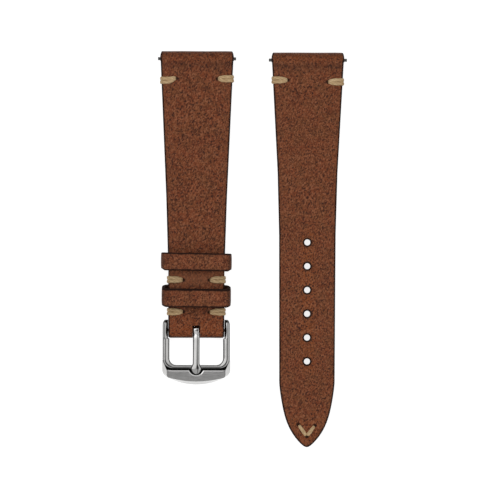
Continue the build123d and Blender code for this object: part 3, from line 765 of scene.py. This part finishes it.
def keeper(name, node, body, start, half, low, lean, recede, skew):
    """A band round the strap; lean tips its top along the strap, recede draws in its sides, skew turns it."""
    wall, wide, high = 1.05, 4.9, 7.55
    grain = loop(half, low, high, 1.9)
    ahead = np.roll(grain, -1, axis=0) - np.roll(grain, 1, axis=0)
    ahead /= np.linalg.norm(ahead, axis=1)[:, None]
    inward = np.column_stack([-ahead[:, 1], ahead[:, 0]])
    rounded = [0, 0.03, 0.09, 0.18, 0.3, 0.45, 0.7]
    columns = np.array(rounded + list(np.linspace(1.0, wide - 1.0, 13)) + [wide - e for e in rounded[::-1]])
    edge = np.minimum(columns, wide - columns)
    lap = 0.22 * bell(grain[:, 0], -3.0, 0.18) * (grain[:, 1] < low + 0.05)
    grids = []
    for line, push, radius in ((grain, inward, 0.30), (grain + inward * wall, -inward, 0.18)):
        out = np.clip((np.abs(grain[:, 0]) - (half - 1.9)) / 1.9, 0, 1)
        near = lean * np.clip((line[:, 1] - low) / (high - low), 0, 1) + skew * grain[:, 0]
        far = near - recede * ease(out, 0.5, 1.0)
        along = start + near[:, None] + columns[None, :] / wide * (wide + far - near)[:, None]
        drop = np.tile(round_off(edge, radius), (len(line), 1))
        if line is grain:
            on_top = line[:, 1:] > high - 0.4
            drop = drop + 0.07 * (1 - ease(edge, 0, 1.4)) + lap[:, None]
            drop = drop + 0.05 * np.sin(line[:, :1] * 0.5 + columns[None, :] * 0.3) * on_top + 0.05 * on_top
        spot = line[:, None] + push[:, None] * drop[..., None]
        grids.append(np.dstack([short.x + spot[..., 0], short.y - along, spot[..., 1]]))
    made = shell(name, grids[0], grids[1], leather_keeper, closed=True)
    at = own_points(made)
    across = np.abs(at[:, 0] - short.x)
    is_flesh = np.tile(np.repeat([0.0, 1.0], len(columns)), len(grain))
    # Painted shade: the band's sides where they bend down, and its inner face inside the loop
    sides = 0.46 * ease(across, half - 1.2, half - 0.6) * (at[:, 2] > low + 2)
    write_field(made, "edge", np.tile(edge, 2 * len(grain)))
    # a dark warm band on the rounded shoulders, painted shade
    write_field(made, "warmth_and_shoulder_shade", 0.95 * bell(across, half - 1.75, 0.6))
    write_field(made, "painted_shade", np.maximum(0.72 * is_flesh, sides))
    place(made, body, "grain_leather", node)


keeper("free_keeper_band", "free_keeper", "free_keeper", 55.4, 9.7, 0.05, lean=0.0, recede=0.45, skew=0.016)
keeper("fixed_keeper_band", "fixed_keeper", "strap_halves", 64.1, 9.5, 1.75, lean=1.3, recede=0.1, skew=0.008)


# Metal, measured from the buckle's bar: x to the right and y towards the strap
def crown(crest, shoulder):
    """Section of a worn bar: how far across and how far below its crest, steeper towards both edges."""
    low_side = [
        (0.0, 74), (0.14, 62), (0.24, shoulder + 8), (0.38, shoulder),
        (0.66, 22), (0.84, 16), (0.92, 6), (1.0, 0),
    ]
    high_side = [(0.0, 0), (0.1, 6), (0.2, 16), (0.52, 24), (0.64, 44), (0.8, 62), (1.0, 74)]
    across = np.concatenate([np.linspace(0, 1, 22)[:-1] * crest, crest + (1 - crest) * np.linspace(0, 1, 16)])
    tilt = np.where(
        across < crest,
        np.interp(across / crest, *zip(*low_side)),
        -np.interp((across - crest) / (1 - crest), *zip(*high_side)),
    )
    slope = np.tan(np.radians(tilt))
    height = np.concatenate([[0], np.cumsum(np.diff(across) * (slope[1:] + slope[:-1]) / 2)])
    return across, (height.max() - height) / 0.45


ARM_CREST, TONGUE_CREST = 0.63, 0.66


def bent_bar(stations):
    """Rings round a rounded bar, from (inner point, outer point, top, bottom, fall) at each station."""
    rings = []
    share, fall = crown(ARM_CREST, 32)
    u = np.concatenate([[0.10, 0.02, 0.0], share, [1.0, 0.98, 0.90]])[:, None]
    for near, far, top, bottom, drop in stations:
        near, far = np.array(near, float), np.array(far, float)
        drop = min(drop, (top - bottom) * 0.5)
        low = min(0.12, (top - bottom) * 0.2)
        foot = [bottom, bottom + low * 0.3, bottom + low]
        z = np.maximum(np.concatenate([foot, top - drop * fall, foot[::-1]]), bottom)
        flat = near[None, :] + (far - near)[None, :] * u
        rings.append(np.column_stack([short.x + flat[:, 0], BUCKLE_Y + flat[:, 1], z]))
    return np.array(rings)


EAR_Y, EAR_RADIUS, EAR_TO_RIB = 1.65, 1.25, 12.17


def arm_face(y, side, fall):
    """Height of an arm's top (side 1) or underside (-1), round at the ear."""
    if y < EAR_Y:
        return BAR + side * EAR_RADIUS - fall * (EAR_Y - y) / EAR_TO_RIB
    return BAR + side * math.sqrt(max(EAR_RADIUS**2 - (y - EAR_Y) ** 2, 0.0004))


ARM_TOP, ARM_LOW = (1, 1.05), (-1, 0.40)


def flip(spot):
    return (-spot[0], spot[1])


RIB_NEAR, RIB_FAR, BEND_X, BEND_OUTER_X = -9.57, -10.52, 5.475, 6.6
right_arm = []
for y in [
    2.9, 2.885, 2.84, 2.76, 2.62, 2.42, 2.15, 1.85, 1.5, 1.1, 0.6, 0.0, -0.7, -1.4, -1.9, -2.12,
    -2.18, -2.24, -2.32, -2.5, -3.1, -3.6, -4.2, -4.8, -5.4, -6.0, -6.6, -7.2,
]:
    inner_x = 7.75 - 0.375 * float(ease(-y, 2.1, 2.34))
    outer_x = 9.2 - 0.5 * (1.5 - math.sqrt(max(1.5**2 - max(y - 1.4, 0) ** 2, 0)))
    right_arm.append(((inner_x, y), (outer_x, y), arm_face(y, *ARM_TOP), arm_face(y, *ARM_LOW), 0.62))
for a in np.linspace(0, math.pi / 2, 18):
    near = (BEND_X + 1.9 * math.cos(a), -7.67 - 1.9 * math.sin(a))
    far = (BEND_OUTER_X + 2.6 * math.cos(a), -7.92 - 2.6 * math.sin(a))
    top, low = arm_face((near[1] + far[1]) / 2, *ARM_TOP), arm_face(near[1], *ARM_LOW)
    right_arm.append((near, far, top, low, 0.62 - 0.2 * math.sin(a)))
for t in np.linspace(0, 1, 14)[1:]:
    right_arm.append(((BEND_X * (1 - t), RIB_NEAR), (BEND_OUTER_X * (1 - t), RIB_FAR), 2.3, 0.45, 0.42))
left_arm = [(flip(near), flip(far), *heights) for near, far, *heights in right_arm[-2::-1]]
hoop = bent_bar(right_arm + left_arm)


def front_line(half, side_front, front, corner, rear):
    """Right side, bowed front and left side of the buckle's front, seen from above."""
    rise = front - side_front
    radius = (half**2 + rise**2) / (2 * rise)
    centre = radius - front
    cx, cy = half - corner, centre - math.sqrt((radius - corner) ** 2 - (half - corner) ** 2)
    swing = math.atan2(cy - centre, cx)
    right_side = [(half, rear + (cy - rear) * t) for t in np.linspace(0, 1, 9)[:-1]]
    right_side += [(cx + corner * math.cos(a), cy + corner * math.sin(a)) for a in np.linspace(0, swing, 10)]
    sweep = np.linspace(swing, -math.pi - swing, 44)[1:-1]
    bow = [(radius * math.cos(a), centre + radius * math.sin(a)) for a in sweep]
    return np.array(right_side + bow + [flip(p) for p in right_side[::-1]])


# Front block: flanks that lean in from the base to the plate's rim, and a round notch for the tongue
PLATE_HALF, PLATE_REAR, FLANK_HALF = 8.05, -10.97, 9.3
NOTCH_RADIUS, NOTCH_Y, NOTCH_DEPTH = 2.05, -10.25, 0.72
plate_rim = front_line(PLATE_HALF, 12.85, 14.0, 0.8, PLATE_REAR)
flank_rim = front_line(FLANK_HALF, 12.2, 14.9, 2.2, -8.3)
mouth = math.sqrt(NOTCH_RADIUS**2 - NOTCH_DEPTH**2)
swing = math.atan2(-NOTCH_DEPTH, mouth)
notch = [
    (NOTCH_RADIUS * math.cos(a), NOTCH_Y + NOTCH_RADIUS * math.sin(a))
    for a in np.linspace(-math.pi - swing, swing, 17)
]
edge_shares = np.linspace(0, 1, 10)[1:-1]
rear_line = np.array(
    [(-PLATE_HALF + (PLATE_HALF - mouth) * t, PLATE_REAR) for t in edge_shares]
    + notch
    + [(mouth + (PLATE_HALF - mouth) * t, PLATE_REAR) for t in edge_shares]
)
rim = np.vstack([plate_rim, rear_line])
base = np.vstack([flank_rim, level(rear_line[:, 0] * FLANK_HALF / PLATE_HALF, -9.7)])
step = np.roll(rim, -1, axis=0) - rim
step /= np.linalg.norm(step, axis=1)[:, None]
facing = np.column_stack([step[:, 1], -step[:, 0]])
before = np.roll(facing, 1, axis=0)
inset = (facing + before) / (1 + (facing * before).sum(axis=1))[:, None]
is_rear = np.arange(len(rim)) >= len(plate_rim)
# Each ring: y (or None for the rim's own) and height at the rear, share of the way in and height elsewhere
block_steps = [
    (-9.9, 0.45, -0.03, 0.03), (-10.3, 1.2, 0.0, 0.16), (-10.95, 1.2, 0.25, 0.88),
    (PLATE_REAR, 1.25, 0.5, 1.72), (PLATE_REAR, 2.28, 0.75, 2.56),
    (None, 2.281, 0.80, 2.72), (None, 3.25, 0.965, 3.28),
]
block = []
for rear_y, rear_z, t, z in block_steps:
    back = rim if rear_y is None else level(rim[:, 0], rear_y)
    flat = np.where(is_rear[:, None], back, base * (1 - t) + rim * t)
    block.append(np.column_stack([flat, np.where(is_rear, rear_z, z)]))
lip = np.where(is_rear, 0.30, 0.14)[:, None]
for share in (0.06, 0.5, 0.94, 1.0):
    block.append(level(rim + inset * lip * share, 3.26 + 0.14 * share))
block.append(level(rim + inset * (lip + 0.04), 3.4))
block = np.array(block) + np.array([short.x, BUCKLE_Y, 0])

buckle_steel = polished_steel("buckle_polish", 0.38, 0.08, plate=True)
frame_metal = mesh_object("buckle_frame_metal", hoop, tube_faces(*hoop.shape[:2]), buckle_steel)
bore = lathe([(0.44, -12.0), (0.44, 12.0)], 0, 0, buckle_steel, 24)
bore.rotation_euler = (0, math.pi / 2, 0)
bore.location = (short.x * MM, BUCKLE_Y * MM, BAR * MM)
cut([frame_metal], [bore])
front_block = mesh_object("front_block", block, tube_faces(*block.shape[:2]), buckle_steel)
for face in front_block.data.polygons:
    face.use_smooth = abs(face.normal.z) < 0.999
joined = bmesh.new()
joined.from_mesh(frame_metal.data)
joined.from_mesh(front_block.data)
joined.to_mesh(frame_metal.data)
joined.free()
bpy.data.objects.remove(front_block)
crisp(frame_metal.data, math.radians(42))


def flatness(made):
    """How squarely each point of a piece faces up or down."""
    return np.array([abs(v.normal.z) for v in made.data.vertices])


def frame_fields(made):
    """Painted shade where a steep or crested part of the frame would mirror the unlit room, and in the
    plate's rear groove and notch; a painted highlight along the plate's lip.
    """
    at, flat = own_points(made), flatness(made)
    near, far = (np.array([station[k] for station in right_arm]) for k in (0, 1))
    crest_line = (1 - ARM_CREST) * near + ARM_CREST * far
    to_crest = edge_distance(crest_line, at[:, 0] - short.x, at[:, 1] - BUCKLE_Y)
    # painted shade on the steep sides and along the arms' crest, standing for the unlit room mirrored there
    steep = 0.96 * (1 - ease(flat, 0.62, 0.84))
    crest = 0.8 * (1 - ease(to_crest, 0.03, 0.13)) * (flat > 0.9)
    painted_shade = np.maximum(steep, crest) * ease(at[:, 2], 1.2, 1.55)
    in_block = np.arange(len(at)) >= len(at) - block.shape[0] * block.shape[1]
    rear = np.tile(is_rear, len(block))
    high = at[in_block, 2]
    # painted shade in the groove and notch at the plate's rear, and a painted shade ring round the plate's
    # top edge
    rear_shade = np.where(high < 2.3, 0.97, np.where(high < 3.2, 0.6, 0.0))
    painted_shade[in_block] = np.where(rear, rear_shade, np.where((high > 3.3) & (high < 3.395), 0.75, 0.0))
    # painted light: a highlight along the plate's rear lip, and the rest of the block lighter
    painted_light = np.zeros(len(at))
    painted_light[in_block] = np.where(rear & (high > 3.2), 1.0, 0.4)
    write_field(made, "painted_light", painted_light)
    write_field(made, "painted_shade", painted_shade)


frame_fields(frame_metal)
place(frame_metal, "buckle_frame", "buckle_steel", "buckle_frame")

# Tongue: one rod from its curl round the bar, over the top and down to a round tip in the notch
TIP_Y, TIP_RADIUS = -10.58, 1.5


def squared(value):
    """A sine or cosine bent towards a squarer curl."""
    return math.copysign(abs(value) ** 0.8, value)


path = []
for a in np.radians(np.linspace(-115, 90, 40)):
    high = (0.91 + 0.2 * float(ease(math.sin(a), 0.2, 1.0))) * squared(math.sin(a))
    path.append((0.95 * squared(math.cos(a)), BAR + high, 0.23, nose(a)[1]))
for y in np.concatenate([np.linspace(-0.12, -8.6, 46), np.linspace(-8.7, -12.07, 44)]):
    raised = 0.2 * (1 - float(ease(-y, 0.1, 0.9)))
    top = 3.24 + 0.06 * min(1, -y / 9.57) + raised - 0.42 * float(ease(-y, 10.4, 12.1))
    low = 2.98 - 1.1 * float(ease(-y, 0.0, 1.5)) + 0.44 * float(ease(-y, 1.5, 9.57))
    half = 0.93 + 0.57 * float(ease(-y, 9.0, 10.5))
    if y <= TIP_Y:
        half = math.sqrt(max(TIP_RADIUS**2 - (y - TIP_Y) ** 2, 0.0036))
    path.append((y, (top + low) / 2, (top - low) / 2, half))
path = np.array(path)
ahead = np.gradient(path[:, :2], axis=0)
ahead /= np.linalg.norm(ahead, axis=1)[:, None]
share, fall = crown(TONGUE_CREST, 25)
fall = fall / fall.max()
below = np.linspace(0, math.pi, 18)[1:-1]
rod = []
for (y, z, thick, half), (ahead_y, ahead_z) in zip(path, ahead):
    across = half * np.concatenate([2 * share - 1, 0.97 * np.cos(below)])
    rise = thick * np.concatenate([1 - 1.5 * fall, -0.5 - 0.5 * np.sin(below) ** 0.8])
    rod.append(np.column_stack([short.x + across, BUCKLE_Y + y + ahead_z * rise, z - ahead_y * rise]))
rod = np.array(rod)
tongue_steel = polished_steel("tongue_polish", 0.38, 0.07)
tongue_metal = mesh_object("buckle_tongue_metal", rod, tube_faces(*rod.shape[:2]), tongue_steel)


def tongue_fields(made):
    """Painted shade along the crest and the steep sides of the tongue's upper face, and a painted highlight
    at its root.
    """
    y = own_points(made)[:, 1]
    stripe = 0.8 * (1 - ease(np.abs(share - TONGUE_CREST), 0.02, 0.06))
    stripe = np.tile(np.concatenate([stripe, np.zeros(len(below))]), len(rod))
    on_crown = np.tile(np.arange(rod.shape[1]) < len(share), len(rod))
    steep = 0.94 * (1 - ease(flatness(made), 0.6, 0.82)) * (y < BUCKLE_Y) * on_crown
    write_field(made, "painted_shade", np.maximum(steep, stripe))
    write_field(made, "painted_light", 0.9 * ease(y - BUCKLE_Y, -2.6, -1.4))


tongue_fields(tongue_metal)
place(tongue_metal, "buckle_tongue", "tongue_steel", "buckle_tongue")

# Spring bars keep their own shapes from model.glb
bar_finish = polished_steel("bar_polish", 0.12, 0.25)
spring_finish = polished_steel("spring_wire", 0.45, 0.22)
for name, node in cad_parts.items():
    if "spring" in name:
        material = spring_finish
    elif "_tube" in name or "_tip_" in name:
        material = bar_finish
    else:
        continue
    for k in range(len(node.data.materials)):
        node.data.materials[k] = material
    weld = node.modifiers.new("weld", "WELD")
    weld.merge_threshold = 0.0005 * MM
    crease = node.modifiers.new("crease", "EDGE_SPLIT")
    crease.split_angle = math.radians(35)

# Floor: it keeps the object's shadow, and looks near white both directly and in reflections
floor_paint = Paint("studio_floor")
mottle = floor_paint.mix(floor_paint.noise(floor_paint.here(), 0.02, 2), grey(0.42), grey(0.43))
matt = floor_paint.node("BsdfDiffuse", {"Color": mottle})
ray = floor_paint.node("LightPath").outputs
indirect = floor_paint.calc("MAXIMUM", ray["Is Glossy Ray"], ray["Is Transmission Ray"])
seen = floor_paint.calc("MAXIMUM", ray["Is Camera Ray"], indirect)
glow = floor_paint.node("Emission", {"Color": grey(1), "Strength": floor_paint.calc("MULTIPLY", seen, 0.84)})
lit = floor_paint.node("AddShader", {0: matt.outputs[0], 1: glow.outputs[0]})
floor_paint.node("OutputMaterial", {"Surface": lit.outputs[0]})
FAR = 3000
floor_corners = [(-FAR, -FAR, 0), (FAR, -FAR, 0), (FAR, FAR, 0), (-FAR, FAR, 0)]
floor = mesh_object("floor", floor_corners, [(0, 1, 2, 3)], floor_paint.data)

# A light tent: bright walls, darker at the horizon and dark where the camera looks in from above
TENT_LEVELS = (
    (0.0, 0.2), (0.25, 0.28), (0.45, 0.55), (0.62, 0.95),
    (0.86, 0.95), (0.93, 0.6), (0.965, 0.4), (0.985, 0.06),
)
studio = Paint("studio", bpy.data.worlds)
upward = studio.node("SeparateXYZ", {0: studio.node("TexCoord").outputs["Generated"]}).outputs[2]
tent = studio.node("ValToRGB", {0: upward})
stops = tent.color_ramp.elements
for position, brightness in TENT_LEVELS:
    stops.new(position).color = grey(brightness)
stops.remove(stops[0])
stops.remove(stops[-1])
backdrop = studio.node("Background", {0: tent.outputs[0], 1: 0.92})
studio.node("OutputWorld", {0: backdrop.outputs[0]})
bpy.context.scene.world = studio.data


def softbox(name, at, wide, tall, watts):
    """A soft lamp, at a place in metres, aimed at the middle of the object."""
    lamp = bpy.data.lights.new(name, "AREA")
    lamp.shape, lamp.size, lamp.size_y, lamp.energy = "RECTANGLE", wide, tall, watts
    made = bpy.data.objects.new(name, lamp)
    made.location = at
    made.rotation_euler = (-Vector(at)).to_track_quat("-Z", "Y").to_euler()
    bpy.context.scene.collection.objects.link(made)


softbox("key", (-1.05, 0.35, 1.2), 1.4, 1.4, 5.3)
softbox("fill", (1.05, -0.2, 1.0), 1.2, 1.6, 2.7)

# Camera, straight above; at the leather's height its view is VIEW_WIDTH metres wide
SENSOR, CAMERA_HEIGHT, LEATHER_HEIGHT, VIEW_WIDTH = 36, 1.5, 0.0035, 0.13706
lens = bpy.data.cameras.new("camera")
camera = bpy.data.objects.new("camera", lens)
lens.sensor_width, lens.clip_start, lens.clip_end = SENSOR, 0.1, 10
lens.lens = SENSOR * (CAMERA_HEIGHT - LEATHER_HEIGHT) / VIEW_WIDTH
camera.location = (-0.00052, -0.00023, CAMERA_HEIGHT)
camera.rotation_euler = (0, 0, 0.003)
bpy.context.scene.collection.objects.link(camera)
bpy.context.scene.camera = camera
bpy.context.scene.view_settings.view_transform = "Standard"
